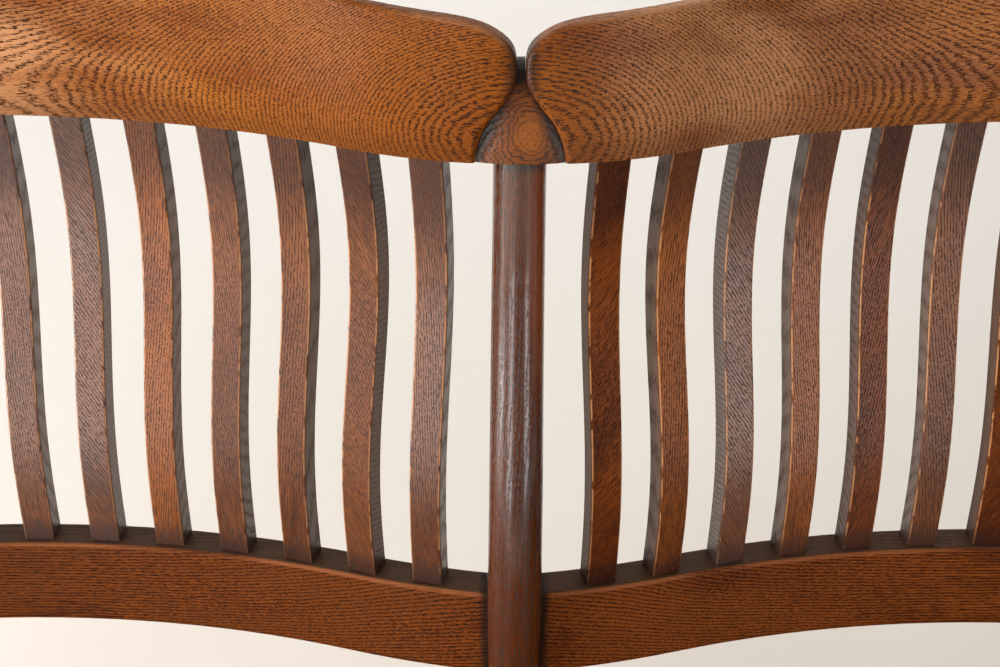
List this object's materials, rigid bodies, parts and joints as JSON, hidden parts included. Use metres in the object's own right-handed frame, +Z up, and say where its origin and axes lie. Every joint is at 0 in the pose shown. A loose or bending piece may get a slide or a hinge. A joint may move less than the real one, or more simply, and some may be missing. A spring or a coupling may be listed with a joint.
{
  "type": "chair-back settee",
  "caption": "Wooden settee with a curved spindle back of flat bent slats under a carved crest, plank seat, open arms and turned splayed legs.",
  "frame": {"origin": "middle of the settee's box, on the floor", "axes": "+X along the length, to the right of someone who faces the back; +Y backward; +Z up"},
  "size_m": [1.2836, 0.6266, 0.9032],
  "materials": {
    "crest": "stained oak, satin",
    "rail": "stained oak, satin",
    "post": "stained oak, satin",
    "slat": "stained oak, satin",
    "seat": "stained oak, satin",
    "turning": "stained oak, satin",
    "arm": "stained oak, satin",
    "dowel": "stained oak, satin"
  },
  "bodies": {
    "root": {"arm_left": "arm", "arm_post_left": "turning", "arm_post_right": "turning", "arm_right": "arm", "centre_post": "post", "crest_dowels": "dowel", "crest_keystone": "crest", "crest_rail_left": "crest", "crest_rail_right": "crest", "left_post": "post", "left_slat_01": "slat", "left_slat_02": "slat", "left_slat_03": "slat", "left_slat_04": "slat", "left_slat_05": "slat", "left_slat_06": "slat", "left_slat_07": "slat", "left_slat_08": "slat", "left_slat_09": "slat", "left_slat_10": "slat", "left_slat_11": "slat", "left_slat_12": "slat", "left_slat_13": "slat", "leg_front_centre": "turning", "leg_front_left": "turning", "leg_front_right": "turning", "leg_rear_centre": "turning", "leg_rear_left": "turning", "leg_rear_right": "turning", "leg_wedges": "dowel", "long_stretcher_left": "turning", "long_stretcher_right": "turning", "lower_rail_left": "rail", "lower_rail_right": "rail", "post_wedges": "dowel", "right_post": "post", "right_slat_01": "slat", "right_slat_02": "slat", "right_slat_03": "slat", "right_slat_04": "slat", "right_slat_05": "slat", "right_slat_06": "slat", "right_slat_07": "slat", "right_slat_08": "slat", "right_slat_09": "slat", "right_slat_10": "slat", "right_slat_11": "slat", "right_slat_12": "slat", "right_slat_13": "slat", "seat_board_front": "seat", "seat_board_middle": "seat", "seat_board_rear": "seat", "seat_dowels": "dowel", "stretcher_centre": "turning", "stretcher_left": "turning", "stretcher_right": "turning"}
  },
  "joints": []
}
